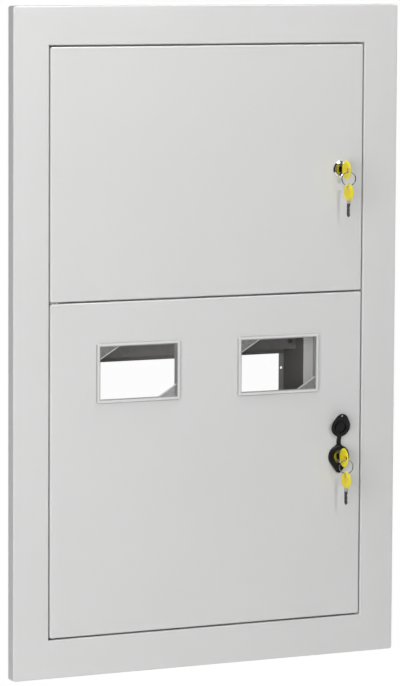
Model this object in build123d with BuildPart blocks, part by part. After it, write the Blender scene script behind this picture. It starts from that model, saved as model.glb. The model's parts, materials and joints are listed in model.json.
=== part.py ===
from build123d import *
import os

# Millimetres. X runs to the right, Y into the wall and Z up. The back plane is Y = 0, and the origin is
# the middle of the four wall fixings on it.

# Overall
BOARD_W = 650.0
BOARD_H = 1000.0
BOARD_D = 150.0
SHEET = 1.2  # sheet steel of the frame, the doors and the box
BEND_R = 2.0  # outside radius of the folds that show
CORNER_R = 4.0  # outside corners of the frame, seen from the front
DOOR_CORNER_R = 3.0  # outside corners of the doors, seen from the front

# Front frame
FLANGE = 58.0  # face round the doors
RETURN_D = 18.0  # outer edge, folded back to the wall
REBATE_D = 20.0  # from the face to the lip that the doors close in front of
LIP = 22.0  # width of that lip

# Doors
DOOR_GAP = 2.5
DOOR_D = 15.0
DOOR_LIP = 8.0  # inner edge folded in behind the door
SPLIT_Z = 61.5  # middle of the gap between the doors

# Door pivots
PIN_R = 2.0
PIN_HEAD_R = 3.5
PIN_HEAD_T = 2.0
PIN_TAIL = 3.0  # reach past the door's folded edge
COLLAR_R = 3.4
PIVOT_IN = 8.0  # from the door's left edge
PIVOT_BACK = 5.0  # from the door's front
BRACKET_FRONT = 3.0  # bracket in front of the pin's middle
BRACKET_BACK = 7.0  # bracket behind it
BRACKET_END = 6.0  # bracket beyond it, towards the door's middle
BRACKET_TAB = 14.0

# Clearances
RUN_CLEAR = 0.05  # radial, pin or plug in its bore
FIT_CLEAR = 0.1  # radial, part pushed through a hole
AXIAL_CLEAR = 0.05

# Box behind the frame
WALL_LIP = 18.0  # rear lip
FIX_R = 4.5  # wall fixing holes
FIX_SPACING_Z = 700.0
ENTRY_W = 150.0  # cable entries in the top and bottom walls
ENTRY_D = 60.0
ENTRY_X = 105.0
RAIL_H = 44.0  # split rail behind the gap
RAIL_LEG = 16.0
SHELF_DROP = 15.0  # folded edges of the shelf
SHELF_NOTCH_W = 240.0
SHELF_NOTCH_D = 38.0

# Uprights and cross bar
UP_FRONT = 40.0  # from the board's face to the front flange
UP_WEB = 66.0
UP_INSET = 69.0  # from the side walls to the webs
UP_FLANGE = 30.0
UP_LIP = 8.0
UP_FOOT = 30.0
PIERCE_Z = 2.0  # one place in the row of holes in the rear lips
PIERCE_PITCH = 66.0
CROSS_FRONT = 66.0  # from the board's face to the cross bar
CROSS_BOTTOM = -31.0
CROSS_H = 36.0
CROSS_DROP = 10.5
CROSS_SCREW_IN = 11.0  # from the webs
CROSS_SCREW_UP = 12.0  # above the bar's lower edge
LUG_W = 20.0  # lugs on the webs, behind the bar
LUG_H = 20.0

# Rails and bars
DIN_H = 35.0
DIN_WEB = 27.0
DIN_D = 7.5
DIN_T = 1.0
DIN_SLOT_L = 18.0
DIN_SLOT_W = 6.2
DIN_SLOT_PITCH = 48.0
DIN_SLOTS = 7
SCREW_R = 2.0
SCREW_HEAD_R = 3.5
SCREW_HEAD_T = 2.4
SCREW_TAIL = 4.0
BAR_H = 9.0
BAR_D = 10.0
SUPPORT_W = 16.0
SUPPORT_H = 22.0
SUPPORT_D = 14.0
TERMINALS = 8
TERMINAL_PITCH = 40.0
TERMINAL_R = 2.4
TERMINAL_OUT = 1.5
TERMINAL_IN = 2.4
WIRE_R = 2.5
COVER_PLATE_H = 140.0
COVER_EDGE = 12.0
COVER_SLOT_W = 306.0
COVER_SLOT_H = 46.0
COVER_SCREW_Z = 55.0
STUD_R = 4.0
STUD_L = 28.0
STUD_X = -25.0
STUD_DEPTH = 70.0
STUD_NUT_R = 7.5
STUD_NUT_T = 6.5

# Windows
WIN_X = 119.3
WIN_Z = -45.8
WIN_W = 140.0
WIN_H = 90.5
WIN_R = 4.0
WIN_RIM = 6.0
WIN_PROUD = 3.0
WIN_EDGE_R = 1.0
WIN_PANE = 1.6
WIN_SKIRT = 3.0  # rim overlap on the door
WIN_SKIRT_T = 1.6
WIN_SKIRT_D = 8.0
WIN_CLIP_L = 30.0
WIN_CLIP_T = 1.2
PAD_W = 31.0
PAD_H = 18.5
PAD_T = 0.6
PAD_RIB = 2.0
PAD_RIB_T = 1.2

# Locks
UPPER_LOCK_Z = 249.0
LOWER_LOCK_Z = -193.0
LOCK_BACKSET = 38.5
BEZEL_R = 12.75
BEZEL_T = 2.5
BEZEL_OUT = 1.5  # height of the slope round the bezel
BEZEL_SLOPE = 2.4
BEZEL_IN = 1.4
BARREL_R = 9.5
PLUG_R = 8.0
PLUG_SINK = 0.8
PLUG_SHOULDER = 0.3
NUT_R = 13.5
NUT_T = 4.0
CAM_W = 14.0
CAM_T = 2.5
CAM_BITE = 8.0  # cam behind the frame's lip when locked
CAM_CORNER = 2.0
LATCH_CLEAR = 2.0
TAIL_A = 8.0
CAM_SCREW_R = 2.0
CAM_SCREW_L = 4.5
CAM_SCREW_HEAD_R = 5.0
CAM_SCREW_HEAD_T = 2.5

# Keys and rings
KEY_T = 2.0
KEY_W = 6.8
KEY_L = 25.0
KEY_CLEAR = 0.15
KEY_TIP = 3.0
KEY_CUTS = (1.4, 2.6, 1.0, 2.2, 1.6)
KEY_CUT_START = 8.0
KEY_CUT_PITCH = 2.7
SHOULDER_W = 9.0
SHOULDER_L = 3.3
GROOVE_W = 1.4
GROOVE_D = 0.5
TANG = 8.0
HEAD_L = 26.5
HEAD_W = 29.0
HEAD_T = 3.2
HEAD_RIM = 0.8  # thickness left at the edge
HEAD_BEVEL = 3.0
HEAD_OUT = 31.7  # outer end of the head from the door
HOLE_R = 4.0
HOLE_END = 6.0  # hole's middle from the outer end
RING_R = 10.5
WIRE = 0.75
RING_YAW = -20.0
RING_CLEAR = 0.42  # at the top of the wire, which curves away from the hole

# Cover of the lower lock
COVER_R = 17.3
COVER_TIP = 20.0
COVER_TIP_R = 5.0
COVER_T = 5.5
COVER_EDGE_R = 1.2
COVER_HOLE_R = 10.3
COVER_LIP_R = 12.4
COVER_LIP_T = 1.0
SEAL_R = 1.7
SEAL_DROP = 18.5  # from the lock's axis
STRAP_W = 6.7
STRAP_T = 1.6
STRAP_BACK = 0.7
STRAP_L = 6.0  # from the base to the fold
STRAP_FLARE = 2.0  # reach of its 45 degree flare past the base's edge
CAP_STRAP_L = 8.0  # from the fold to the cap
FOLD_R = 1.2
CAP_R = 16.0
CAP_TIP = 10.0
CAP_TIP_R = 11.0
CAP_T = 2.2
CAP_EDGE = 0.6
CAP_RIDGE_R = 10.0
CAP_RIDGE_W = 1.5
CAP_RIDGE_T = 1.8
CAP_LEAN = 14.0

# Worked out from the values above
FRONT = -BOARD_D
OPEN_W = BOARD_W - 2 * FLANGE
OPEN_H = BOARD_H - 2 * FLANGE
DOOR_W = OPEN_W - 2 * DOOR_GAP
UPPER_TOP = OPEN_H / 2 - DOOR_GAP
UPPER_BOTTOM = SPLIT_Z + DOOR_GAP / 2
LOWER_TOP = SPLIT_Z - DOOR_GAP / 2
LOWER_BOTTOM = DOOR_GAP - OPEN_H / 2
PIVOT_X = PIVOT_IN - DOOR_W / 2
PIVOT_Y = FRONT + PIVOT_BACK
LIP_BACK = FRONT + REBATE_D + SHEET
WALL_X = OPEN_W / 2 - LIP / 2
WALL_Z = OPEN_H / 2 - LIP / 2
WALL_FLANGE = LIP / 2 - 1
FIX_X = WALL_X - WALL_LIP / 2
UP_X = WALL_X - UP_INSET
UP_Y = FRONT + UP_FRONT
UP_BACK = UP_Y + UP_WEB
SEAT_Y = UP_BACK - SHEET
SCREW_X = UP_X - UP_LIP / 2
METER_RAIL_Z = PIERCE_Z - 2 * PIERCE_PITCH
LOWER_RAIL_Z = PIERCE_Z - 5 * PIERCE_PITCH
EARTH_BAR_Z = PIERCE_Z + 2 * PIERCE_PITCH
UPPER_RAIL_Z = PIERCE_Z + 4 * PIERCE_PITCH
NEUTRAL_BAR_Z = PIERCE_Z + 6 * PIERCE_PITCH
CROSS_Y = FRONT + CROSS_FRONT
CROSS_SCREW_X = UP_X - CROSS_SCREW_IN
CROSS_SCREW_Z = CROSS_BOTTOM + CROSS_SCREW_UP
COVER_SCREW_X = UP_X + UP_FLANGE / 2
LOCK_X = DOOR_W / 2 - LOCK_BACKSET
CAM_Y = LIP_BACK + SHEET + LATCH_CLEAR
CAM_REACH = OPEN_W / 2 - LIP + CAM_BITE - LOCK_X
KEY_Y = FRONT - HEAD_OUT + HOLE_END
RING_DROP = HOLE_R - WIRE - RING_CLEAR
FOLD_Z = LOWER_LOCK_Z + COVER_R + STRAP_L
FOLD_Y = FRONT - STRAP_BACK - STRAP_T / 2


def face(y):
    """Plane parallel to the front of the board, at the given Y, seen from the front."""
    return Plane.XZ.offset(-y)


def block(x0, x1, y0, y1, z0, z1, mode=Mode.ADD):
    """Box between limits, added to or cut from the part being built."""
    with Locations(((x0 + x1) / 2, (y0 + y1) / 2, (z0 + z1) / 2)):
        Box(x1 - x0, y1 - y0, z1 - z0, mode=mode)


def rod(radius, y0, y1, spots, mode=Mode.ADD):
    """Cylinders along Y between two depths, at (x, z) spots, in the part being built."""
    with Locations([(x, (y0 + y1) / 2, z) for x, z in spots]):
        Cylinder(radius, y1 - y0, rotation=(90, 0, 0), mode=mode)


def both_sides(x, heights):
    return [(side * x, z) for z in heights for side in (-1, 1)]


# Front frame: face and outer edge, then the rebate and its lip
with BuildPart() as front_frame:
    with BuildSketch(face(FRONT)):
        RectangleRounded(BOARD_W, BOARD_H, CORNER_R)
    extrude(amount=-RETURN_D)
    fillet(front_frame.faces().sort_by(Axis.Y)[0].edges(), BEND_R)
    with BuildSketch(face(FRONT + SHEET)):
        RectangleRounded(BOARD_W - 2 * SHEET, BOARD_H - 2 * SHEET, CORNER_R - SHEET)
    extrude(amount=SHEET - RETURN_D, mode=Mode.SUBTRACT)
    block(-OPEN_W / 2 - SHEET, OPEN_W / 2 + SHEET, FRONT, LIP_BACK, -OPEN_H / 2 - SHEET, OPEN_H / 2 + SHEET)
    block(-OPEN_W / 2, OPEN_W / 2, FRONT, LIP_BACK - SHEET, -OPEN_H / 2, OPEN_H / 2, Mode.SUBTRACT)
    block(LIP - OPEN_W / 2, OPEN_W / 2 - LIP, FRONT, LIP_BACK,
          LIP - OPEN_H / 2, OPEN_H / 2 - LIP, Mode.SUBTRACT)
    fillet(front_frame.faces().sort_by(Axis.Y)[0].inner_wires()[0].edges(), BEND_R)
    with Locations((PIVOT_X, PIVOT_Y, OPEN_H / 2), (PIVOT_X, PIVOT_Y, -OPEN_H / 2)):
        Cylinder(PIN_R + FIT_CLEAR / 2, 4 * SHEET, mode=Mode.SUBTRACT)
    block(-OPEN_W / 2 - SHEET, -OPEN_W / 2,
          PIVOT_Y - BRACKET_FRONT - FIT_CLEAR, PIVOT_Y + BRACKET_BACK + FIT_CLEAR,
          SPLIT_Z - SHEET / 2 - FIT_CLEAR, SPLIT_Z + SHEET / 2 + FIT_CLEAR, Mode.SUBTRACT)

# Door pivots
with BuildPart() as top_pivot_pin:
    with Locations((PIVOT_X, PIVOT_Y, OPEN_H / 2 + SHEET)):
        Cylinder(PIN_HEAD_R, PIN_HEAD_T, align=(Align.CENTER, Align.CENTER, Align.MIN))
        Cylinder(PIN_R, DOOR_GAP + 2 * SHEET + PIN_TAIL, align=(Align.CENTER, Align.CENTER, Align.MAX))

with BuildPart() as bottom_pivot_pin:
    with Locations((PIVOT_X, PIVOT_Y, -OPEN_H / 2 - SHEET)):
        Cylinder(PIN_HEAD_R, PIN_HEAD_T, align=(Align.CENTER, Align.CENTER, Align.MAX))
        Cylinder(PIN_R, DOOR_GAP + 2 * SHEET + PIN_TAIL, align=(Align.CENTER, Align.CENTER, Align.MIN))
    with Locations((PIVOT_X, PIVOT_Y, -OPEN_H / 2)):
        Cylinder(COLLAR_R, DOOR_GAP - AXIAL_CLEAR, align=(Align.CENTER, Align.CENTER, Align.MIN))

with BuildPart() as middle_pivot_bracket:
    block(-OPEN_W / 2 - 2 * SHEET, PIVOT_X + BRACKET_END, PIVOT_Y - BRACKET_FRONT, PIVOT_Y + BRACKET_BACK,
          SPLIT_Z - SHEET / 2, SPLIT_Z + SHEET / 2)
    block(-OPEN_W / 2 - 2 * SHEET, -OPEN_W / 2 - SHEET, PIVOT_Y - BRACKET_FRONT, PIVOT_Y + BRACKET_BACK,
          SPLIT_Z - BRACKET_TAB, SPLIT_Z)
    with Locations((PIVOT_X, PIVOT_Y, SPLIT_Z)):
        Cylinder(PIN_R + FIT_CLEAR / 2, 2 * SHEET, mode=Mode.SUBTRACT)

with BuildPart() as middle_pivot_pin:
    with Locations((PIVOT_X, PIVOT_Y, SPLIT_Z)):
        Cylinder(PIN_R, DOOR_GAP + 2 * SHEET + 2 * PIN_TAIL)
        Cylinder(COLLAR_R, DOOR_GAP - 2 * AXIAL_CLEAR)
        Cylinder(COLLAR_R, SHEET, mode=Mode.SUBTRACT)
        Cylinder(PIN_R, SHEET)


# Doors
def door_pan(z0, z1, lock_z):
    """Folded door between two heights, with its lock hole and its two pivot holes."""
    height = z1 - z0
    middle = (z0 + z1) / 2
    with BuildPart() as pan:
        with BuildSketch(face(FRONT)):
            with Locations((0, middle)):
                RectangleRounded(DOOR_W, height, DOOR_CORNER_R)
        extrude(amount=-DOOR_D)
        fillet(pan.faces().sort_by(Axis.Y)[0].edges(), BEND_R)
        with BuildSketch(face(FRONT + SHEET)):
            with Locations((0, middle)):
                RectangleRounded(DOOR_W - 2 * SHEET, height - 2 * SHEET, DOOR_CORNER_R - SHEET)
        extrude(amount=2 * SHEET - DOOR_D, mode=Mode.SUBTRACT)
        block(DOOR_LIP - DOOR_W / 2, DOOR_W / 2 - DOOR_LIP, FRONT + SHEET, FRONT + DOOR_D,
              z0 + DOOR_LIP, z1 - DOOR_LIP, Mode.SUBTRACT)
        rod(BARREL_R + FIT_CLEAR, FRONT - SHEET, FRONT + 2 * SHEET, [(LOCK_X, lock_z)], Mode.SUBTRACT)
        with Locations((PIVOT_X, PIVOT_Y, z0), (PIVOT_X, PIVOT_Y, z1)):
            Cylinder(PIN_R + RUN_CLEAR, 3 * SHEET, mode=Mode.SUBTRACT)
    return pan.part


upper_door = door_pan(UPPER_BOTTOM, UPPER_TOP, UPPER_LOCK_Z)

with BuildPart() as lower_door:
    add(door_pan(LOWER_BOTTOM, LOWER_TOP, LOWER_LOCK_Z))
    with BuildSketch(face(FRONT)):
        with Locations((-WIN_X, WIN_Z), (WIN_X, WIN_Z)):
            RectangleRounded(WIN_W - 2 * WIN_SKIRT, WIN_H - 2 * WIN_SKIRT, WIN_R)
    extrude(amount=-2 * SHEET, mode=Mode.SUBTRACT)


def window(x):
    """Clear moulding: raised rim, pane, skirt through the door with clips, and two corner pads."""
    skirt_w = WIN_W - 2 * WIN_SKIRT - 2 * FIT_CLEAR
    skirt_h = WIN_H - 2 * WIN_SKIRT - 2 * FIT_CLEAR
    glass_w = WIN_W / 2 - WIN_RIM
    glass_h = WIN_H / 2 - WIN_RIM
    with BuildPart() as pane:
        with BuildSketch(face(FRONT)):
            with Locations((x, WIN_Z)):
                RectangleRounded(WIN_W, WIN_H, WIN_R)
        extrude(amount=WIN_PROUD)
        fillet(pane.faces().sort_by(Axis.Y)[0].edges(), WIN_EDGE_R)
        block(x - glass_w, x + glass_w, FRONT - WIN_PROUD, FRONT - WIN_PANE,
              WIN_Z - glass_h, WIN_Z + glass_h, Mode.SUBTRACT)
        fillet(pane.faces().sort_by(Axis.Y)[0].inner_wires()[0].edges(), WIN_EDGE_R)
        with BuildSketch(face(FRONT)):
            with Locations((x, WIN_Z)):
                RectangleRounded(skirt_w, skirt_h, WIN_R - FIT_CLEAR)
                RectangleRounded(skirt_w - 2 * WIN_SKIRT_T, skirt_h - 2 * WIN_SKIRT_T,
                                 WIN_R - WIN_SKIRT_T, mode=Mode.SUBTRACT)
        extrude(amount=-WIN_SKIRT_D)
        for side in (-1, 1):
            with Locations((x + side * (skirt_w + WIN_CLIP_T) / 2, FRONT + SHEET + FIT_CLEAR + WIN_CLIP_T / 2,
                            WIN_Z)):
                Box(WIN_CLIP_T, WIN_CLIP_T, WIN_CLIP_L)
        for side in (-1, 1):
            corner = (x - side * glass_w, WIN_Z + side * glass_h)
            low = (corner[0], corner[1] - side * PAD_H)
            far = (corner[0] + side * PAD_W, corner[1])
            slope = PAD_RIB / PAD_W
            with BuildSketch(face(FRONT - WIN_PANE)):
                with BuildLine():
                    Polyline(corner, low, far, close=True)
                make_face()
            extrude(amount=PAD_T)
            with BuildSketch(face(FRONT - WIN_PANE)):
                with BuildLine():
                    Polyline(low, far, (far[0] - side * PAD_RIB, far[1]),
                             (low[0], low[1] + side * slope * PAD_H), close=True)
                make_face()
            extrude(amount=PAD_RIB_T)
    return pane.part


# Box: side walls, then top and bottom walls between them
with BuildPart() as right_wall:
    block(WALL_X, WALL_X + SHEET, LIP_BACK, 0, -WALL_Z - SHEET, WALL_Z + SHEET)
    block(WALL_X, WALL_X + WALL_FLANGE, LIP_BACK, LIP_BACK + SHEET, -WALL_Z - SHEET, WALL_Z + SHEET)
    block(WALL_X - WALL_LIP, WALL_X, -SHEET, 0, -WALL_Z, WALL_Z)
    rod(FIX_R, -2 * SHEET, SHEET, [(FIX_X, -FIX_SPACING_Z / 2), (FIX_X, FIX_SPACING_Z / 2)], Mode.SUBTRACT)

with BuildPart() as top_wall:
    block(-WALL_X, WALL_X, LIP_BACK, 0, WALL_Z, WALL_Z + SHEET)
    block(-WALL_X, WALL_X, LIP_BACK, LIP_BACK + SHEET, WALL_Z, WALL_Z + WALL_FLANGE)
    block(WALL_LIP - WALL_X, WALL_X - WALL_LIP, -SHEET, 0, WALL_Z - WALL_LIP, WALL_Z)
    with BuildSketch(Plane.XY.offset(WALL_Z)):
        with Locations((-ENTRY_X, UP_BACK - ENTRY_D / 2), (ENTRY_X, UP_BACK - ENTRY_D / 2)):
            RectangleRounded(ENTRY_W, ENTRY_D, CORNER_R)
    extrude(amount=SHEET, mode=Mode.SUBTRACT)

with BuildPart() as split_rail:
    block(-WALL_X, WALL_X, LIP_BACK, LIP_BACK + SHEET, SPLIT_Z - RAIL_H / 2, SPLIT_Z + RAIL_H / 2)
    block(-WALL_X, WALL_X, LIP_BACK, LIP_BACK + RAIL_LEG, SPLIT_Z + RAIL_H / 2 - SHEET, SPLIT_Z + RAIL_H / 2)
    block(-WALL_X, WALL_X, LIP_BACK, LIP_BACK + RAIL_LEG, SPLIT_Z - RAIL_H / 2, SPLIT_Z - RAIL_H / 2 + SHEET)

with BuildPart() as compartment_shelf:
    block(-WALL_X, WALL_X, LIP_BACK + SHEET, -SHEET, SPLIT_Z - SHEET / 2, SPLIT_Z + SHEET / 2)
    for edge in (-WALL_X, WALL_X - SHEET):
        block(edge, edge + SHEET, LIP_BACK + RAIL_LEG, -SHEET, SPLIT_Z - SHELF_DROP, SPLIT_Z)
    block(-WALL_X, WALL_X, -2 * SHEET, -SHEET, SPLIT_Z - SHELF_DROP, SPLIT_Z)
    block(-SHELF_NOTCH_W / 2, SHELF_NOTCH_W / 2, -SHELF_NOTCH_D, 0,
          SPLIT_Z - SHELF_DROP, SPLIT_Z + SHEET, Mode.SUBTRACT)


# Uprights, with a foot at each end and holes in the rear lip
def upright(z0, z1, lip_holes, flange_holes):
    """Right-hand upright between two heights, with a row of holes in its rear lip and in its flange."""
    with BuildPart() as post:
        block(UP_X, UP_X + SHEET, UP_Y, UP_BACK, z0, z1)
        block(UP_X, UP_X + UP_FLANGE, UP_Y, UP_Y + SHEET, z0, z1)
        block(UP_X - UP_LIP, UP_X + SHEET, SEAT_Y, UP_BACK, z0, z1)
        block(UP_X, UP_X + UP_FLANGE, UP_Y, UP_Y + UP_FOOT, z0, z0 + SHEET)
        block(UP_X, UP_X + UP_FLANGE, UP_Y, UP_Y + UP_FOOT, z1 - SHEET, z1)
        rod(SCREW_R + FIT_CLEAR, SEAT_Y - SHEET, UP_BACK + SHEET,
            [(SCREW_X, z) for z in lip_holes], Mode.SUBTRACT)
        if flange_holes:
            rod(SCREW_R + FIT_CLEAR, UP_Y - SHEET, UP_Y + 2 * SHEET,
                [(COVER_SCREW_X, z) for z in flange_holes], Mode.SUBTRACT)
    return post.part


lower_holes = [PIERCE_Z - step * PIERCE_PITCH for step in range(1, 7)]
upper_holes = [PIERCE_Z + step * PIERCE_PITCH for step in range(2, 7)]
cover_heights = (UPPER_RAIL_Z - COVER_SCREW_Z, UPPER_RAIL_Z + COVER_SCREW_Z)
upper_right_upright = upright(SPLIT_Z + SHEET / 2, WALL_Z, upper_holes, cover_heights)

with BuildPart() as lower_right_upright:
    add(upright(-WALL_Z, SPLIT_Z - SHEET / 2, lower_holes, ()))
    block(UP_X - LUG_W, UP_X, CROSS_Y + SHEET, CROSS_Y + 2 * SHEET,
          CROSS_BOTTOM + 2 * SHEET, CROSS_BOTTOM + 2 * SHEET + LUG_H)
    rod(SCREW_R + FIT_CLEAR, CROSS_Y, CROSS_Y + 3 * SHEET, [(CROSS_SCREW_X, CROSS_SCREW_Z)], Mode.SUBTRACT)

with BuildPart() as meter_crossbar:
    block(-UP_X, UP_X, CROSS_Y, CROSS_Y + SHEET, CROSS_BOTTOM, CROSS_BOTTOM + CROSS_H)
    block(-UP_X, UP_X, CROSS_Y, SEAT_Y, CROSS_BOTTOM, CROSS_BOTTOM + SHEET)
    block(-UP_X, UP_X, SEAT_Y - SHEET, SEAT_Y, CROSS_BOTTOM - CROSS_DROP, CROSS_BOTTOM + SHEET)
    rod(SCREW_R + FIT_CLEAR, CROSS_Y - SHEET, CROSS_Y + 2 * SHEET,
        both_sides(CROSS_SCREW_X, [CROSS_SCREW_Z]), Mode.SUBTRACT)


def din_rail(z):
    """Slotted top-hat rail across the uprights."""
    end = UP_X - SHEET
    with BuildPart() as hat:
        block(-end, end, SEAT_Y - DIN_T, SEAT_Y, z - DIN_WEB / 2, z + DIN_WEB / 2)
        for side in (-1, 1):
            edge = z + side * (DIN_WEB - DIN_T) / 2
            block(-end, end, SEAT_Y - DIN_D, SEAT_Y, edge - DIN_T / 2, edge + DIN_T / 2)
            rim = z + side * (DIN_H + DIN_WEB - 2 * DIN_T) / 4
            half = (DIN_H - DIN_WEB + 2 * DIN_T) / 4
            block(-end, end, SEAT_Y - DIN_D, SEAT_Y - DIN_D + DIN_T, rim - half, rim + half)
        with BuildSketch(face(SEAT_Y)):
            with Locations((0, z)):
                with GridLocations(DIN_SLOT_PITCH, 1, DIN_SLOTS, 1):
                    SlotOverall(DIN_SLOT_L, DIN_SLOT_W)
        extrude(amount=DIN_T, mode=Mode.SUBTRACT)
        rod(SCREW_R + FIT_CLEAR, SEAT_Y - 2 * DIN_T, SEAT_Y + DIN_T, both_sides(SCREW_X, [z]), Mode.SUBTRACT)
    return hat.part


def screws(y, through, spots):
    """Pan-head screws driven into the wall's direction, with their heads on a surface at the given Y."""
    with BuildPart() as group:
        rod(SCREW_HEAD_R, y - SCREW_HEAD_T, y, spots)
        rod(SCREW_R, y, y + through, spots)
    return group.part


rail_heights = (METER_RAIL_Z, LOWER_RAIL_Z, UPPER_RAIL_Z)
rail_screws = screws(SEAT_Y - DIN_T, DIN_T + SHEET + SCREW_TAIL, both_sides(SCREW_X, rail_heights))
crossbar_screws = screws(CROSS_Y, 2 * SHEET + SCREW_TAIL, both_sides(CROSS_SCREW_X, [CROSS_SCREW_Z]))
cover_screws = screws(UP_Y - SHEET, 2 * SHEET + SCREW_TAIL, both_sides(COVER_SCREW_X, cover_heights))
bar_screws = screws(SEAT_Y - SUPPORT_D - BAR_D, BAR_D + SUPPORT_D + SHEET + SCREW_TAIL,
                    both_sides(SCREW_X, (EARTH_BAR_Z, NEUTRAL_BAR_Z)))

with BuildPart() as breaker_cover:
    block(-COVER_SCREW_X - UP_FLANGE / 2, COVER_SCREW_X + UP_FLANGE / 2, UP_Y - SHEET, UP_Y,
          UPPER_RAIL_Z - COVER_PLATE_H / 2, UPPER_RAIL_Z + COVER_PLATE_H / 2)
    for edge in (UPPER_RAIL_Z - COVER_PLATE_H / 2, UPPER_RAIL_Z + COVER_PLATE_H / 2 - SHEET):
        block(SHEET - UP_X, UP_X - SHEET, UP_Y - SHEET, UP_Y + COVER_EDGE, edge, edge + SHEET)
    with BuildSketch(face(UP_Y)):
        with Locations((0, UPPER_RAIL_Z)):
            RectangleRounded(COVER_SLOT_W, COVER_SLOT_H, SHEET)
    extrude(amount=2 * SHEET, mode=Mode.SUBTRACT)
    rod(SCREW_R + FIT_CLEAR, UP_Y - 2 * SHEET, UP_Y + SHEET,
        both_sides(COVER_SCREW_X, cover_heights), Mode.SUBTRACT)


# Neutral and earth bars
def terminal_spots(z):
    first = -TERMINAL_PITCH * (TERMINALS - 1) / 2
    return [(first + step * TERMINAL_PITCH, z) for step in range(TERMINALS)]


def terminal_bar(z):
    """Bar with wire holes from above, screw holes from the front and a fixing hole at each end."""
    front = SEAT_Y - SUPPORT_D - BAR_D
    end = UP_X - SHEET
    with BuildPart() as bar:
        block(-end, end, front, front + BAR_D, z - BAR_H / 2, z + BAR_H / 2)
        rod(TERMINAL_R + RUN_CLEAR, front - 1, front + TERMINAL_IN, terminal_spots(z), Mode.SUBTRACT)
        with Locations([(x, front + BAR_D / 2 + WIRE_R / 2, z) for x, _ in terminal_spots(z)]):
            Cylinder(WIRE_R, BAR_H, mode=Mode.SUBTRACT)
        rod(SCREW_R + FIT_CLEAR, front - 1, front + BAR_D + 1, both_sides(SCREW_X, [z]), Mode.SUBTRACT)
    return bar.part


def bar_supports(z):
    """A block behind each end of a bar."""
    with BuildPart() as pair:
        for side in (-1, 1):
            with Locations((side * (UP_X - SHEET - SUPPORT_W / 2), SEAT_Y - SUPPORT_D / 2, z)):
                Box(SUPPORT_W, SUPPORT_D, SUPPORT_H)
        rod(SCREW_R + FIT_CLEAR, SEAT_Y - SUPPORT_D - 1, SEAT_Y + 1, both_sides(SCREW_X, [z]), Mode.SUBTRACT)
    return pair.part


def terminal_screws(z):
    """Clamping screws standing in the front of a bar."""
    front = SEAT_Y - SUPPORT_D - BAR_D
    with BuildPart() as group:
        rod(TERMINAL_R, front - TERMINAL_OUT, front + TERMINAL_IN, terminal_spots(z))
    return group.part


with BuildPart() as earth_stud:
    with Locations((STUD_X, FRONT + STUD_DEPTH, -WALL_Z)):
        Cylinder(STUD_R, STUD_L, align=(Align.CENTER, Align.CENTER, Align.MIN))

with BuildPart() as earth_stud_nut:
    with BuildSketch(Plane.XY.offset(-WALL_Z)):
        with Locations((STUD_X, FRONT + STUD_DEPTH)):
            RegularPolygon(STUD_NUT_R, 6)
            Circle(STUD_R + RUN_CLEAR, mode=Mode.SUBTRACT)
    extrude(amount=STUD_NUT_T)


# Locks, with the cam hanging down, unlocked
def lock_body(z):
    """Bezel and barrel, bored for the plug."""
    with BuildPart() as body:
        rod(BEZEL_R, FRONT - BEZEL_T, FRONT, [(LOCK_X, z)])
        front = body.faces().sort_by(Axis.Y)[0]
        chamfer(front.edges(), BEZEL_SLOPE, BEZEL_OUT, reference=front)
        rod(BARREL_R, FRONT, CAM_Y - PLUG_SHOULDER, [(LOCK_X, z)])
        rod(PLUG_R + RUN_CLEAR, FRONT - BEZEL_T, CAM_Y, [(LOCK_X, z)], Mode.SUBTRACT)
        rim = body.faces().sort_by(Axis.Y)[0]
        chamfer(rim.inner_wires()[0].edges(), BEZEL_IN)
    return body.part


def lock_nut(z):
    with BuildPart() as nut:
        with BuildSketch(face(FRONT + SHEET)):
            with Locations((LOCK_X, z)):
                RegularPolygon(NUT_R, 6)
                Circle(BARREL_R + RUN_CLEAR, mode=Mode.SUBTRACT)
        extrude(amount=-NUT_T)
    return nut.part


def lock_plug(z):
    """Plug with its key slot, square tail and screw hole."""
    with BuildPart() as plug:
        rod(PLUG_R, FRONT - BEZEL_T + PLUG_SINK, CAM_Y, [(LOCK_X, z)])
        block(LOCK_X - TAIL_A / 2, LOCK_X + TAIL_A / 2, CAM_Y, CAM_Y + CAM_T, z - TAIL_A / 2, z + TAIL_A / 2)
        rod(CAM_SCREW_R + RUN_CLEAR, CAM_Y + CAM_T - CAM_SCREW_L, CAM_Y + CAM_T, [(LOCK_X, z)], Mode.SUBTRACT)
        block(LOCK_X - KEY_T / 2 - KEY_CLEAR, LOCK_X + KEY_T / 2 + KEY_CLEAR, FRONT - BEZEL_T,
              KEY_Y + HEAD_L - HOLE_END + KEY_L + KEY_CLEAR,
              z - KEY_W / 2 - KEY_CLEAR, z + KEY_W / 2 + KEY_CLEAR, Mode.SUBTRACT)
    return plug.part


def lock_cam(z):
    """Flat cam on the plug's tail, pointing down."""
    with BuildPart() as cam:
        with BuildSketch(face(CAM_Y)):
            with Locations((LOCK_X, z - CAM_REACH / 2)):
                RectangleRounded(CAM_W, CAM_REACH, CAM_CORNER)
            with Locations((LOCK_X, z)):
                Circle(CAM_W / 2)
                Rectangle(TAIL_A + 2 * RUN_CLEAR, TAIL_A + 2 * RUN_CLEAR, mode=Mode.SUBTRACT)
        extrude(amount=-CAM_T)
    return cam.part


def cam_screw(z):
    with BuildPart() as bolt:
        rod(CAM_SCREW_HEAD_R, CAM_Y + CAM_T, CAM_Y + CAM_T + CAM_SCREW_HEAD_T, [(LOCK_X, z)])
        rod(CAM_SCREW_R, CAM_Y + CAM_T - CAM_SCREW_L + KEY_CLEAR, CAM_Y + CAM_T, [(LOCK_X, z)])
    return bolt.part


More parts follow.
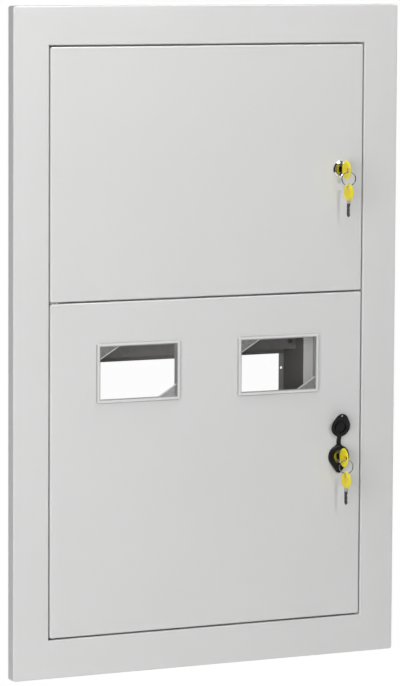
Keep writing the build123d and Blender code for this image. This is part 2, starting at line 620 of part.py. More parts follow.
# Key, drawn in the YZ plane with its ring hole at the origin and its blade along +Y
def key_blade():
    """Cut and grooved blade with a shoulder and the tang that the head is moulded on."""
    start = HEAD_L - HOLE_END
    tip = start + KEY_L
    points = [(start - TANG, KEY_W / 2), (start, KEY_W / 2), (start, SHOULDER_W / 2),
              (start + SHOULDER_L, SHOULDER_W / 2), (start + SHOULDER_L, KEY_W / 2),
              (tip - KEY_TIP, KEY_W / 2), (tip, 0), (tip - KEY_TIP, -KEY_W / 2)]
    for step in range(len(KEY_CUTS) - 1, -1, -1):
        middle = start + KEY_CUT_START + step * KEY_CUT_PITCH
        points += [(middle + KEY_CUT_PITCH / 2, -KEY_W / 2), (middle, KEY_CUTS[step] - KEY_W / 2)]
    points += [(start + KEY_CUT_START - KEY_CUT_PITCH / 2, -KEY_W / 2), (start + SHOULDER_L, -KEY_W / 2),
               (start + SHOULDER_L, -SHOULDER_W / 2), (start, -SHOULDER_W / 2), (start, -KEY_W / 2),
               (start - TANG, -KEY_W / 2)]
    with BuildPart() as blade:
        with BuildSketch(Plane.YZ):
            with BuildLine():
                Polyline(*points, close=True)
            make_face()
        extrude(amount=KEY_T / 2, both=True)
        for side in (GROOVE_D - KEY_T / 2, KEY_T / 2):
            block(side - GROOVE_D, side, start + SHOULDER_L, tip, -GROOVE_W / 2, GROOVE_W / 2, Mode.SUBTRACT)
    return blade.part


def key_head():
    """Oval moulded head with the ring hole and the pocket that holds the tang."""
    with BuildPart() as head:
        with BuildSketch(Plane.YZ):
            with Locations((HEAD_L / 2 - HOLE_END, 0)):
                Ellipse(HEAD_L / 2, HEAD_W / 2)
        extrude(amount=HEAD_T / 2, both=True)
        for cheek in head.faces().filter_by(Axis.X):
            chamfer(cheek.edges(), HEAD_BEVEL, (HEAD_T - HEAD_RIM) / 2, reference=cheek)
        with Locations((0, 0, 0)):
            Cylinder(HOLE_R, 2 * HEAD_T, rotation=(0, 90, 0), mode=Mode.SUBTRACT)
        block(-KEY_T / 2, KEY_T / 2, HEAD_L - HOLE_END - TANG, HEAD_L,
              -KEY_W / 2, KEY_W / 2, Mode.SUBTRACT)
        block(-HEAD_T, HEAD_T, HEAD_L - HOLE_END - AXIAL_CLEAR, HEAD_L, -HEAD_W, HEAD_W, Mode.SUBTRACT)
    return head.part


def key_ring():
    """Ring about the Z axis; its section is a hexagon."""
    with BuildPart() as hoop:
        with BuildSketch(Plane.XZ):
            with Locations((RING_R, 0)):
                RegularPolygon(WIRE, 6)
        revolve(axis=Axis.Z)
    return hoop.part


def in_lock(shape, z):
    return Pos(LOCK_X, KEY_Y, z) * shape


def on_key(shape, z):
    return Pos(LOCK_X, KEY_Y, z - RING_DROP - RING_R) * Rot(0, 0, RING_YAW) * Rot(90, 0, 0) * shape


def on_ring(shape, z):
    return Pos(LOCK_X, KEY_Y, z - 2 * RING_DROP - 2 * RING_R) * Rot(-90, 0, 0) * shape


# Cover of the lower lock: base over the bezel, and the cap on its strap
with BuildPart() as lock_cover_base:
    with BuildSketch(face(FRONT)):
        with Locations((LOCK_X, LOWER_LOCK_Z)):
            Circle(COVER_R)
        with Locations((LOCK_X, LOWER_LOCK_Z - COVER_TIP)):
            Circle(COVER_TIP_R)
        make_hull()
    extrude(amount=COVER_T)
    chamfer(lock_cover_base.faces().sort_by(Axis.Y)[0].edges(), COVER_EDGE_R)
    block(LOCK_X - STRAP_W / 2, LOCK_X + STRAP_W / 2, FOLD_Y - STRAP_T / 2, FOLD_Y + STRAP_T / 2,
          LOWER_LOCK_Z + COVER_R - STRAP_T, FOLD_Z - FOLD_R + STRAP_T / 4)
    with BuildSketch(face(FOLD_Y + STRAP_T / 2)):
        with Locations((LOCK_X, LOWER_LOCK_Z + COVER_R)):
            Trapezoid(STRAP_W + 4 * STRAP_FLARE, 2 * STRAP_FLARE, 45)
    extrude(amount=STRAP_T)
    with Locations((LOCK_X, FOLD_Y, FOLD_Z)):
        Cylinder(FOLD_R + RUN_CLEAR, 2 * STRAP_W, rotation=(0, 90, 0), mode=Mode.SUBTRACT)
    rod(COVER_HOLE_R, FRONT - COVER_T, FRONT, [(LOCK_X, LOWER_LOCK_Z)], Mode.SUBTRACT)
    rod(COVER_LIP_R, FRONT - COVER_T, FRONT - COVER_T + COVER_LIP_T, [(LOCK_X, LOWER_LOCK_Z)], Mode.SUBTRACT)
    rod(BEZEL_R + FIT_CLEAR, FRONT - BEZEL_T - FIT_CLEAR, FRONT, [(LOCK_X, LOWER_LOCK_Z)], Mode.SUBTRACT)
    rod(SEAL_R, FRONT - COVER_T, FRONT, [(LOCK_X, LOWER_LOCK_Z - SEAL_DROP)], Mode.SUBTRACT)

# Cap drawn upright with its fold at the origin, then leaned out. Its ridge and its seal hole are placed to
# meet the lock and the base's seal hole when it is folded down.
cap_z = CAP_STRAP_L + CAP_R
over_lock = COVER_R + STRAP_L
with BuildPart() as lock_cover_cap:
    with BuildSketch(face(STRAP_T / 2)):
        with Locations((0, cap_z)):
            Circle(CAP_R)
        with Locations((0, cap_z + CAP_TIP)):
            Circle(CAP_TIP_R)
        make_hull()
    extrude(amount=CAP_T)
    chamfer(lock_cover_cap.faces().sort_by(Axis.Y)[-1].edges(), CAP_EDGE)
    rod(CAP_RIDGE_R, STRAP_T / 2 - CAP_T - CAP_RIDGE_T, STRAP_T / 2 - CAP_T, [(0, over_lock)])
    rod(CAP_RIDGE_R - CAP_RIDGE_W, STRAP_T / 2 - CAP_T - CAP_RIDGE_T, STRAP_T / 2 - CAP_T,
        [(0, over_lock)], Mode.SUBTRACT)
    rod(SEAL_R, STRAP_T / 2 - CAP_T, STRAP_T / 2, [(0, over_lock + SEAL_DROP)], Mode.SUBTRACT)
    block(-STRAP_W / 2, STRAP_W / 2, -STRAP_T / 2, STRAP_T / 2, 0, CAP_STRAP_L + STRAP_T)
    Cylinder(FOLD_R, STRAP_W, rotation=(0, 90, 0))

nodes = {
    "front_frame": front_frame.part,
    "left_wall": mirror(right_wall.part, about=Plane.YZ),
    "right_wall": right_wall.part,
    "top_wall": top_wall.part,
    "bottom_wall": mirror(top_wall.part, about=Plane.XY),
    "split_rail": split_rail.part,
    "compartment_shelf": compartment_shelf.part,
    "upper_left_upright": mirror(upper_right_upright, about=Plane.YZ),
    "upper_right_upright": upper_right_upright,
    "lower_left_upright": mirror(lower_right_upright.part, about=Plane.YZ),
    "lower_right_upright": lower_right_upright.part,
    "meter_crossbar": meter_crossbar.part,
    "crossbar_screws": crossbar_screws,
    "meter_rail": din_rail(METER_RAIL_Z),
    "lower_rail": din_rail(LOWER_RAIL_Z),
    "upper_rail": din_rail(UPPER_RAIL_Z),
    "rail_screws": rail_screws,
    "breaker_cover": breaker_cover.part,
    "cover_screws": cover_screws,
    "neutral_bar": terminal_bar(NEUTRAL_BAR_Z),
    "neutral_bar_supports": bar_supports(NEUTRAL_BAR_Z),
    "neutral_bar_screws": terminal_screws(NEUTRAL_BAR_Z),
    "earth_bar": terminal_bar(EARTH_BAR_Z),
    "earth_bar_supports": bar_supports(EARTH_BAR_Z),
    "earth_bar_screws": terminal_screws(EARTH_BAR_Z),
    "bar_fixing_screws": bar_screws,
    "earth_stud": earth_stud.part,
    "earth_stud_nut": earth_stud_nut.part,
    "top_pivot_pin": top_pivot_pin.part,
    "middle_pivot_bracket": middle_pivot_bracket.part,
    "middle_pivot_pin": middle_pivot_pin.part,
    "bottom_pivot_pin": bottom_pivot_pin.part,
    "upper_door": upper_door,
    "lower_door": lower_door.part,
    "left_window": window(-WIN_X),
    "right_window": window(WIN_X),
    "lock_cover_base": lock_cover_base.part,
    "lock_cover_cap": Pos(LOCK_X, FOLD_Y, FOLD_Z) * Rot(CAP_LEAN, 0, 0) * lock_cover_cap.part,
}
for place, height in (("upper", UPPER_LOCK_Z), ("lower", LOWER_LOCK_Z)):
    nodes[place + "_lock_body"] = lock_body(height)
    nodes[place + "_lock_nut"] = lock_nut(height)
    nodes[place + "_lock_plug"] = lock_plug(height)
    nodes[place + "_lock_cam"] = lock_cam(height)
    nodes[place + "_cam_screw"] = cam_screw(height)
    nodes[place + "_key_blade"] = in_lock(key_blade(), height)
    nodes[place + "_key_head"] = in_lock(key_head(), height)
    nodes[place + "_key_ring"] = on_key(key_ring(), height)
    nodes[place + "_spare_blade"] = on_ring(key_blade(), height)
    nodes[place + "_spare_head"] = on_ring(key_head(), height)

os.makedirs("parts", exist_ok=True)
for name, shape in nodes.items():
    shape.label = name
    export_step(shape, f"parts/{name}.step")
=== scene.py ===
import bmesh
import bpy
import json
import math
from mathutils import Matrix, Vector


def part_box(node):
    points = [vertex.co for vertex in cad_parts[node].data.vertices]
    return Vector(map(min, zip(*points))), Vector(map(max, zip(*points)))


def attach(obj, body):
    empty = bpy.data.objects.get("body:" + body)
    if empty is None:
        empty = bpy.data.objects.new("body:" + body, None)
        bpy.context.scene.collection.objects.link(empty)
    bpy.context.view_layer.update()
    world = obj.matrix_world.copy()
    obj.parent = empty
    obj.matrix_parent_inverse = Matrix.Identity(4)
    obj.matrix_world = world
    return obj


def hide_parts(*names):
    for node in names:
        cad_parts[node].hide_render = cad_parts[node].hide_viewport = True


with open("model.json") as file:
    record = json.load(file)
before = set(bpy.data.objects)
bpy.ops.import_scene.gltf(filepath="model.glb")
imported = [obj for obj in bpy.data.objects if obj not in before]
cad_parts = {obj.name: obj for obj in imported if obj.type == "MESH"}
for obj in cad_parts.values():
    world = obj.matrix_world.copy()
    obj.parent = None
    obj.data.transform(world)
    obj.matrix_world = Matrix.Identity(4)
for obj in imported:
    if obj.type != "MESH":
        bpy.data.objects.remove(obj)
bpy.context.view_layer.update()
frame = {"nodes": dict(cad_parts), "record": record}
nodes = frame["nodes"]
scene = bpy.context.scene
scene.view_settings.view_transform = "Standard"

# Lengths are in metres. X runs to the right, Y into the wall and Z up. A pair of values is where a blend from
# one look to another starts and ends.
NOISE_RANGE = (0.3, 0.7)  # most of a noise's values

# Uprights, along Y: where the painted light on the front flange ends and where the painted light on the rear
# lip starts
FLANGE_BACK = (-0.1087, -0.1083)
LIP_FRONT = (-0.0457, -0.0453)
# share of the front flange's painted light that the rear lip gets
LIP_SHARE = 0.4  # of the front flange's colour

# Spare keys, down from the top of the blade
COLLAR_END = (0.0130, 0.0112)

# Windows
WINDOW_X = 0.1193  # from the board's middle
WINDOW_Z = -0.0458
GLASS_W, GLASS_H = 0.064, 0.03925  # half of the clear pane
PAD_W, PAD_H = 0.031, 0.0185  # legs of a corner pad
GLASS_EDGE = (-0.0002, 0.0002)  # out from the pane's edge
# where the painted shade along the rim's inner step ends and where the painted shadow at its outer edge starts
STEP_SHADE_LINE = (0.0014, 0.0018)
OUTER_SHADE_LINE = (0.0048, 0.0052)
PAD_EDGE = (0.99, 1.01)  # shares of the way from a pad's corner to its long edge
RIB_EDGE = (0.92, 0.94)
RIM_ALPHA, PAD_ALPHA, PANE_ALPHA = 0.94, 0.62, 0.012
RIM_ROUGH, PAD_ROUGH = 0.16, 0.4  # on top of the pane's roughness
ACRYLIC_IOR = 1.49

# Split key rings
RING_R = 0.0105
RING_YAW = math.radians(-20)
WIRE_WIDE, WIRE_THICK = 0.00072, 0.00037  # half the wire's width and thickness
WIRE_SIDES = 12
CROSS_AT = math.radians(-35)  # where the two turns cross over
CROSS_HALF = math.radians(14)
RING_STEPS = 220

# Screws and the stud
SHARP = math.radians(32)  # folds from this angle on are shaded as edges
SCREW_NEAR = 0.015  # points nearer than this across Y belong to one screw
SCREW_SIDES, STUD_SIDES = 24, 30
DOME = ((0.80, 0.12), (0.90, 0.26), (0.97, 0.48), (1.0, 0.72), (1.0, 1.0))  # shares of head radius and height
RECESS_FLOOR = 0.55  # share of the recess's width at its bottom
RECESS_MOUTH = 0.06  # share of the head's height
FIRST_TURN, NEXT_TURN = 0.35, 1.1  # each screw stopped at another angle
THREAD_PITCH = 0.0009
THREAD_ROOT = 0.85  # share of the shank's radius
THREAD_L = 0.006
PLAIN_NECK, PLAIN_TIP = 0.0004, 0.0006
TIP = 0.75  # share of the shank's radius
STUD_PITCH = 0.00125
STUD_FOOT, STUD_ROOT, STUD_NOSE = 0.9, 0.86, 0.70  # shares of the stud's radius
STUD_FOOT_L, STUD_NOSE_L, STUD_CHAMFER = 0.0006, 0.0022, 0.0008

# Stage and camera
FLOOR_HALF, FLOOR_Z = 2.2, -1.0
CAMERA_PLACE = (-2.8677, -5.5621, 0.6150)
CAMERA_YAW, CAMERA_PITCH, CAMERA_ROLL = 0.4851, 0.1014, -0.0051
CAMERA_LENS, CAMERA_SENSOR = 214.27, 36  # mm


# Shader helpers
def material(name):
    """New material: (material, node tree, its Principled shader)."""
    made = bpy.data.materials.new(name)
    made.use_nodes = True
    tree = made.node_tree
    return made, tree, tree.nodes["Principled BSDF"]


def link(tree, out, into):
    tree.links.new(out, into)


def math_node(tree, operation, first, second=0.0, clamp=False):
    """Output of a Math node; an input is a socket or a number."""
    node = tree.nodes.new("ShaderNodeMath")
    node.operation = operation
    node.use_clamp = clamp
    for place, value in enumerate((first, second)):
        if isinstance(value, (int, float)):
            node.inputs[place].default_value = value
        else:
            link(tree, value, node.inputs[place])
    return node.outputs["Value"]


def mix_colours(tree, factor, first, second):
    """Output of a colour Mix node; a colour is a socket or three numbers."""
    node = tree.nodes.new("ShaderNodeMix")
    node.data_type = "RGBA"
    link(tree, factor, node.inputs["Factor"])
    for place, value in (("A", first), ("B", second)):
        if isinstance(value, (tuple, list)):
            node.inputs[place].default_value = (*value, 1)
        else:
            link(tree, value, node.inputs[place])
    return node.outputs["Result"]


def coordinate(tree, kind="Object"):
    return tree.nodes.new("ShaderNodeTexCoord").outputs[kind]


def axes_of(tree, vector):
    """Outputs X, Y and Z of a vector."""
    parts = tree.nodes.new("ShaderNodeSeparateXYZ")
    link(tree, vector, parts.inputs["Vector"])
    return parts.outputs


def noise(tree, scale, detail=3.0, stretch=(1, 1, 1)):
    """Noise over the object's own coordinates."""
    place = tree.nodes.new("ShaderNodeMapping")
    place.inputs["Scale"].default_value = stretch
    made = tree.nodes.new("ShaderNodeTexNoise")
    made.inputs["Scale"].default_value = scale
    made.inputs["Detail"].default_value = detail
    link(tree, coordinate(tree), place.inputs["Vector"])
    link(tree, place.outputs["Vector"], made.inputs["Vector"])
    return made.outputs["Fac"]


def span(tree, value, low, high, start=NOISE_RANGE[0], end=NOISE_RANGE[1]):
    """A value from start to end, mapped to low to high."""
    node = tree.nodes.new("ShaderNodeMapRange")
    node.inputs["From Min"].default_value = start
    node.inputs["From Max"].default_value = end
    node.inputs["To Min"].default_value = low
    node.inputs["To Max"].default_value = high
    link(tree, value, node.inputs["Value"])
    return node.outputs["Result"]


def shades(colour, spread):
    """A darker and a lighter shade of a colour."""
    return tuple(c * (1 - spread) for c in colour), tuple(min(1.0, c * (1 + spread)) for c in colour)


def bump(tree, shader, height, strength, distance):
    node = tree.nodes.new("ShaderNodeBump")
    node.inputs["Strength"].default_value = strength
    node.inputs["Distance"].default_value = distance
    link(tree, height, node.inputs["Height"])
    link(tree, node.outputs["Normal"], shader.inputs["Normal"])


# Materials
def powder_coat(name, colour):
    """Light grey powder coat: slight clouding and the fine peel of a baked coat."""
    made, tree, shader = material(name)
    cloud = span(tree, noise(tree, scale=5, detail=2), 0, 1)
    link(tree, mix_colours(tree, cloud, *shades(colour, spread=0.008)), shader.inputs["Base Color"])
    rough = span(tree, noise(tree, scale=40, detail=2), 0.30, 0.38)
    link(tree, rough, shader.inputs["Roughness"])
    bump(tree, shader, noise(tree, scale=700, detail=2), strength=0.10, distance=0.0003)
    return made


def zinc_plate(name, colour, front=None):
    """Zinc plate: faint crystal patches and a satin roughness. Given a front colour, an upright's front flange
    and, in part, its rear lip get that lighter colour as painted light.
    """
    made, tree, shader = material(name)
    place = coordinate(tree)
    cells = tree.nodes.new("ShaderNodeTexVoronoi")
    cells.inputs["Scale"].default_value = 110
    link(tree, place, cells.inputs["Vector"])
    grey = tree.nodes.new("ShaderNodeSeparateColor")
    link(tree, cells.outputs["Color"], grey.inputs["Color"])
    patch = grey.outputs["Red"]
    plate = mix_colours(tree, patch, *shades(colour, spread=0.07))
    if front:
        # painted light: the front-facing flange and rear lip lighter than the web
        depth = axes_of(tree, place)["Y"]
        lit_flange = span(tree, depth, 1, 0, *FLANGE_BACK)
        lit_lip = span(tree, depth, 0, LIP_SHARE, *LIP_FRONT)
        light = mix_colours(tree, patch, *shades(front, spread=0.02))
        plate = mix_colours(tree, math_node(tree, "MAXIMUM", lit_flange, lit_lip), plate, light)
    link(tree, plate, shader.inputs["Base Color"])
    link(tree, span(tree, patch, 0.40, 0.54, start=0, end=1), shader.inputs["Roughness"])
    bump(tree, shader, noise(tree, scale=900, detail=3), strength=0.08, distance=0.0002)
    return made


def metal(name, colour, rough, spread, scale, stretch=(1, 1, 1), strength=0.05):
    """Metal with a grain that the stretch gives a direction."""
    made, tree, shader = material(name)
    lines = noise(tree, scale, detail=4, stretch=stretch)
    grain = span(tree, lines, 0, 1)
    link(tree, mix_colours(tree, grain, *shades(colour, spread)), shader.inputs["Base Color"])
    link(tree, span(tree, lines, *rough), shader.inputs["Roughness"])
    shader.inputs["Metallic"].default_value = 1.0
    bump(tree, shader, lines, strength, distance=0.0001)
    return made


def key_steel(name, node):
    """Spare key's blade: dark with fine lines along it, and a brighter collar under the head."""
    made, tree, shader = material(name)
    height = axes_of(tree, coordinate(tree))["Z"]
    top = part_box(node)[1].z
    collar = span(tree, height, 0, 1, *(top - drop for drop in COLLAR_END))
    lines = noise(tree, scale=500, detail=4, stretch=(1, 1, 0.1))
    blade = mix_colours(tree, span(tree, lines, 0, 1), *shades((0.15, 0.148, 0.142), spread=0.15))
    link(tree, mix_colours(tree, collar, blade, (0.62, 0.62, 0.60)), shader.inputs["Base Color"])
    link(tree, span(tree, lines, 0.24, 0.36), shader.inputs["Roughness"])
    shader.inputs["Metallic"].default_value = 1.0
    bump(tree, shader, lines, strength=0.15, distance=0.0001)
    return made


def moulded_grain(tree, shader, rough):
    """Fine texture of moulded plastic."""
    link(tree, span(tree, noise(tree, scale=300, detail=2), *rough), shader.inputs["Roughness"])
    bump(tree, shader, noise(tree, scale=1500, detail=2), strength=0.12, distance=0.0001)


def plastic(name, colour, rough, spread, shine=0.5):
    """Moulded plastic: a fine texture, and colour that varies a little."""
    made, tree, shader = material(name)
    shader.inputs["Specular IOR Level"].default_value = shine
    flow = span(tree, noise(tree, scale=90, detail=3), 0, 1)
    link(tree, mix_colours(tree, flow, *shades(colour, spread)), shader.inputs["Base Color"])
    moulded_grain(tree, shader, rough)
    return made


def key_plastic(name, node):
    """Yellow key head: a fine texture, and painted shade that makes the middle darker and more orange."""
    made, tree, shader = material(name)
    low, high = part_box(node)
    size = (high - low) / 2
    wide = math.hypot(size.x, size.y)
    place = tree.nodes.new("ShaderNodeMapping")
    place.vector_type = "TEXTURE"
    place.inputs["Location"].default_value = (low + high) / 2
    place.inputs["Scale"].default_value = (wide, wide, size.z)
    length = tree.nodes.new("ShaderNodeVectorMath")
    length.operation = "LENGTH"
    link(tree, coordinate(tree), place.inputs["Vector"])
    link(tree, place.outputs["Vector"], length.inputs[0])
    # painted shade: darker, more orange yellow towards the middle of the head
    middle = span(tree, length.outputs["Value"], 0.55, 0.0, start=0.25, end=0.75)
    flow = span(tree, noise(tree, scale=90, detail=3), 0, 1)
    yellow = mix_colours(tree, flow, *shades((0.81, 0.70, 0.022), spread=0.05))
    link(tree, mix_colours(tree, middle, yellow, (0.79, 0.53, 0.012)), shader.inputs["Base Color"])
    shader.inputs["Specular IOR Level"].default_value = 0.4
    moulded_grain(tree, shader, rough=(0.28, 0.38))
    return made


def clear_moulding(name, middle_x):
    """Clear window moulding: clear pane, milky rim with painted shade at its outer edge and along its inner
    step, and two frosted corner pads, each with a bright rib.
    """
    made, tree, shader = material(name)

    def calc(operation, first, second=0.0):
        return math_node(tree, operation, first, second)

    axes = axes_of(tree, coordinate(tree))
    across = calc("SUBTRACT", axes["X"], middle_x)
    up = calc("SUBTRACT", axes["Z"], WINDOW_Z)

    def along(sign):
        """0 in a pad's corner and 1 on its long edge."""
        run = calc("ADD", calc("MULTIPLY", across, sign / PAD_W), GLASS_W / PAD_W)
        drop = calc("ADD", calc("MULTIPLY", up, -sign / PAD_H), GLASS_H / PAD_H)
        return calc("ADD", run, drop)

    # Masks: how far out of the pane, rim, pads and their ribs
    past_side = calc("SUBTRACT", calc("ABSOLUTE", across), GLASS_W)
    past_end = calc("SUBTRACT", calc("ABSOLUTE", up), GLASS_H)
    outside = calc("MAXIMUM", past_side, past_end)
    rim = span(tree, outside, 0, 1, *GLASS_EDGE)
    reach = calc("MINIMUM", along(1), along(-1))
    pad = calc("MULTIPLY", span(tree, reach, 1, 0, *PAD_EDGE), calc("SUBTRACT", 1.0, rim))
    rib = calc("MULTIPLY", span(tree, reach, 0, 1, *RIB_EDGE), pad)
    frost = noise(tree, scale=420, detail=3)

    # Colour, with painted shade on the rim
    # painted shadow: the rim's outermost strip darker, where it meets the door
    edge = span(tree, outside, 0, 1, *OUTER_SHADE_LINE)
    milky = mix_colours(tree, edge, (0.75, 0.755, 0.75), (0.50, 0.50, 0.495))
    # painted shade: a darker band along the rim's inner step, next to the pane
    step = span(tree, outside, 1, 0, *STEP_SHADE_LINE)
    milky = mix_colours(tree, step, milky, (0.36, 0.36, 0.355))
    colour = mix_colours(tree, rim, (0.04, 0.04, 0.04), milky)
    grain = mix_colours(tree, span(tree, frost, 0, 1), (0.14, 0.14, 0.136), (0.36, 0.36, 0.353))
    colour = mix_colours(tree, pad, colour, grain)
    colour = mix_colours(tree, rib, colour, (0.80, 0.80, 0.79))
    link(tree, colour, shader.inputs["Base Color"])

    # Clearness and surface
    solid = calc("MAXIMUM", calc("MULTIPLY", rim, RIM_ALPHA), calc("MULTIPLY", pad, PAD_ALPHA))
    link(tree, calc("MAXIMUM", solid, PANE_ALPHA), shader.inputs["Alpha"])
    rough = calc("ADD", calc("MULTIPLY", rim, RIM_ROUGH), calc("MULTIPLY", pad, PAD_ROUGH))
    pane_rough = span(tree, noise(tree, scale=60, detail=2), 0.04, 0.08)
    link(tree, calc("ADD", rough, pane_rough), shader.inputs["Roughness"])
    shader.inputs["IOR"].default_value = ACRYLIC_IOR
    bump(tree, shader, calc("MULTIPLY", frost, pad), strength=0.25, distance=0.0002)
    return made


looks = {
    "paint": powder_coat("powder_coat", (0.68, 0.682, 0.678)),
    "zinc": zinc_plate("zinc_plate", (0.38, 0.375, 0.365)),
    "steel": metal("plain_steel", (0.30, 0.30, 0.29), rough=(0.20, 0.34), spread=0.12, scale=500,
                   stretch=(1, 1, 0.1), strength=0.15),
    "chrome": metal("chrome_plate", (0.58, 0.58, 0.59), rough=(0.05, 0.09), spread=0.02, scale=200,
                    strength=0.03),
    "brass": metal("satin_brass", (0.74, 0.58, 0.26), rough=(0.26, 0.38), spread=0.06, scale=400,
                   stretch=(0.05, 1, 1), strength=0.15),
    "black_plastic": plastic("black_plastic", (0.0045, 0.0045, 0.0046), rough=(0.42, 0.55), spread=0.15,
                             shine=0.22),
    "blue_plastic": plastic("blue_plastic", (0.03, 0.13, 0.45), rough=(0.38, 0.50), spread=0.06),
    "green_plastic": plastic("green_plastic", (0.22, 0.42, 0.04), rough=(0.38, 0.50), spread=0.06),
}
nickel = metal("nickel_plug", (0.50, 0.50, 0.47), rough=(0.14, 0.22), spread=0.05, scale=300)
# uprights: the dark web colour is painted shade and the light front colour is painted light on the flange and
# lip
upright_shade_and_light = zinc_plate("upright_painted_shade_and_light", (0.13, 0.127, 0.121), front=(0.90, 0.90, 0.885))
# painted shade: the inserted keys' blades darker than plain steel, for the shade between plug and head
key_blade_painted_shade = metal("key_blade_painted_shade", (0.09, 0.085, 0.08), rough=(0.28, 0.40), spread=0.15, scale=500,
                   stretch=(1, 0.1, 1), strength=0.15)
own_looks = {
    "left_window": clear_moulding("clear_left", -WINDOW_X),
    "right_window": clear_moulding("clear_right", WINDOW_X),
    # painted shade: the lower lock's chrome darker than the upper lock's, dimming its reflections inside the
    # cover's base ring
    "lower_lock_body": metal("lower_lock_painted_shade", (0.30, 0.295, 0.27), rough=(0.22, 0.32), spread=0.05, scale=300),
    # painted shade: the crossbar's zinc darker than the plain zinc, for its shade inside the box
    "meter_crossbar": zinc_plate("crossbar_painted_shade", (0.25, 0.245, 0.235)),
}
for place in ("upper", "lower"):
    own_looks[place + "_key_head"] = key_plastic(place + "_key_yellow_painted_shade", place + "_key_head")
    own_looks[place + "_spare_head"] = key_plastic(place + "_spare_yellow_painted_shade", place + "_spare_head")
    own_looks[place + "_spare_blade"] = key_steel(place + "_spare_steel", place + "_spare_blade")
    own_looks[place + "_key_blade"] = key_blade_painted_shade
    own_looks[place + "_lock_plug"] = nickel
    own_looks[place + "_left_upright"] = upright_shade_and_light
    own_looks[place + "_right_upright"] = upright_shade_and_light


def dress(piece, look):
    piece.data.materials.clear()
    piece.data.materials.append(look)


for entry in frame["record"]["subparts"]:
    name = entry["node"]
    dress(nodes[name], own_looks[name] if name in own_looks else looks[entry["material_slot"]])


# Pieces in place of plain CAD stand-ins
def new_piece(name, mesh, body, slot, *stands_for):
    """Smooth-shaded piece on a body, in place of CAD nodes."""
    made = bpy.data.objects.new(name, mesh)
    scene.collection.objects.link(made)
    mesh.shade_smooth()
    dress(made, looks[slot])
    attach(made, body)
    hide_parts(*stands_for)
    return made


def rings_mesh(name, stacks):
    """Closed pieces, each a list of rings of points, with a face over the first ring and the last."""
    shape = bmesh.new()
    for rings in stacks:
        made = [[shape.verts.new(point) for point in ring] for ring in rings]
        count = len(made[0])
        for first, second in zip(made, made[1:]):
            for step in range(count):
                after = (step + 1) % count
                shape.faces.new((first[step], first[after], second[after], second[step]))
        shape.faces.new(list(reversed(made[0])))
        shape.faces.new(made[-1])
    bmesh.ops.recalc_face_normals(shape, faces=shape.faces)
    mesh = bpy.data.meshes.new(name)
    shape.to_mesh(mesh)
    shape.free()
    return mesh


def wire_rings(path, normal):
    """Rings of a flat wire along a path that stays nearly square to a normal."""
    turns = [2 * math.pi * step / WIRE_SIDES for step in range(WIRE_SIDES)]
    rings = []
    for place, point in enumerate(path):
        ahead = (path[min(place + 1, len(path) - 1)] - path[max(place - 1, 0)]).normalized()
        side = ahead.cross(normal).normalized()
        top = side.cross(ahead)
        rings.append([point + WIRE_WIDE * math.cos(a) * side + WIRE_THICK * math.sin(a) * top for a in turns])
    return rings


def split_ring(place):
    """Key ring of two turns of wire that cross over once, where the CAD model has one hoop."""
    low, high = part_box(place + "_key_ring")
    middle = (Vector(low) + Vector(high)) / 2
    normal = Vector((math.sin(RING_YAW), -math.cos(RING_YAW), 0))
    across = Vector((math.cos(RING_YAW), math.sin(RING_YAW), 0))
    path = []
    for step in range(RING_STEPS + 1):
        turn = CROSS_HALF + (4 * math.pi - 2 * CROSS_HALF) * step / RING_STEPS
        late = min(1.0, max(0.0, (turn - 2 * math.pi + CROSS_HALF) / (2 * CROSS_HALF)))
        shift = WIRE_THICK * (2 * late * late * (3 - 2 * late) - 1)
        angle = CROSS_AT + turn
        out = math.cos(angle) * across + Vector((0, 0, math.sin(angle)))
        path.append(middle + RING_R * out + shift * normal)
    mesh = rings_mesh("wire", [wire_rings(path, normal)])
    new_piece(place + "_split_ring", mesh, place + "_ring", "steel", place + "_key_ring")


def screw_spots(node):
    """Each screw of a node: the X and Z of its axis, and its lowest and highest Y."""
    groups = []
    for vertex in nodes[node].data.vertices:
        near = [group for group in groups if (group[0].xz - vertex.co.xz).length < SCREW_NEAR]
        if near:
            near[0].append(vertex.co)
        else:
            groups.append([vertex.co])
    spots = []
    for group in groups:
        low, high = (Vector([pick(values) for values in zip(*group)]) for pick in (min, max))
        spots.append(((low.x + high.x) / 2, (low.z + high.z) / 2, low.y, high.y))
    return spots


def drive(angle, long, wide, cross):
    """Reach of a cross recess or a slot, from the screw's axis in one direction."""
    across, along = max(1e-6, abs(math.cos(angle))), max(1e-6, abs(math.sin(angle)))
    first = min(long / across, wide / along)
    return max(first, min(wide / across, long / along)) if cross else first


def screw_rings(spot, outward, head_r, head_t, shank_r, recess, tilt):
    """Rings of one screw from the bottom of its recess over its head and down its threaded shank."""
    x, z, low, high = spot
    long, wide, deep, cross = recess
    corner = math.atan2(wide, long)
    turns = {round(2 * math.pi * step / SCREW_SIDES, 5) for step in range(SCREW_SIDES)}
    for quarter in range(4):
        base = quarter * math.pi / 2
        turns |= {round((base + corner) % (2 * math.pi), 5), round((base - corner) % (2 * math.pi), 5)}
    turns = sorted(turns)
    top, end = (low, high) if outward < 0 else (high, low)
    length = abs(end - top)

    def ring(reach, drop):
        """A ring at a depth under the head's top; its reach is the same all round, or depends on the angle."""
        y = top - outward * drop
        points = []
        for a in turns:
            r = reach(a) if callable(reach) else reach
            points.append(Vector((x + r * math.cos(a + tilt), y, z + r * math.sin(a + tilt))))
        return points

    rings = [ring(lambda a: RECESS_FLOOR * drive(a, long, wide, cross), deep),
             ring(lambda a: drive(a, long, wide, cross), RECESS_MOUTH * head_t)]
    rings += [ring(share * head_r, drop * head_t) for share, drop in DOME]
    rings.append(ring(shank_r, head_t))
    place = max(head_t + PLAIN_NECK, length - THREAD_L)
    while place < length - PLAIN_TIP:
        rings += [ring(shank_r, place), ring(THREAD_ROOT * shank_r, place + THREAD_PITCH / 2)]
        place += THREAD_PITCH
    rings.append(ring(TIP * shank_r, length))
    return rings


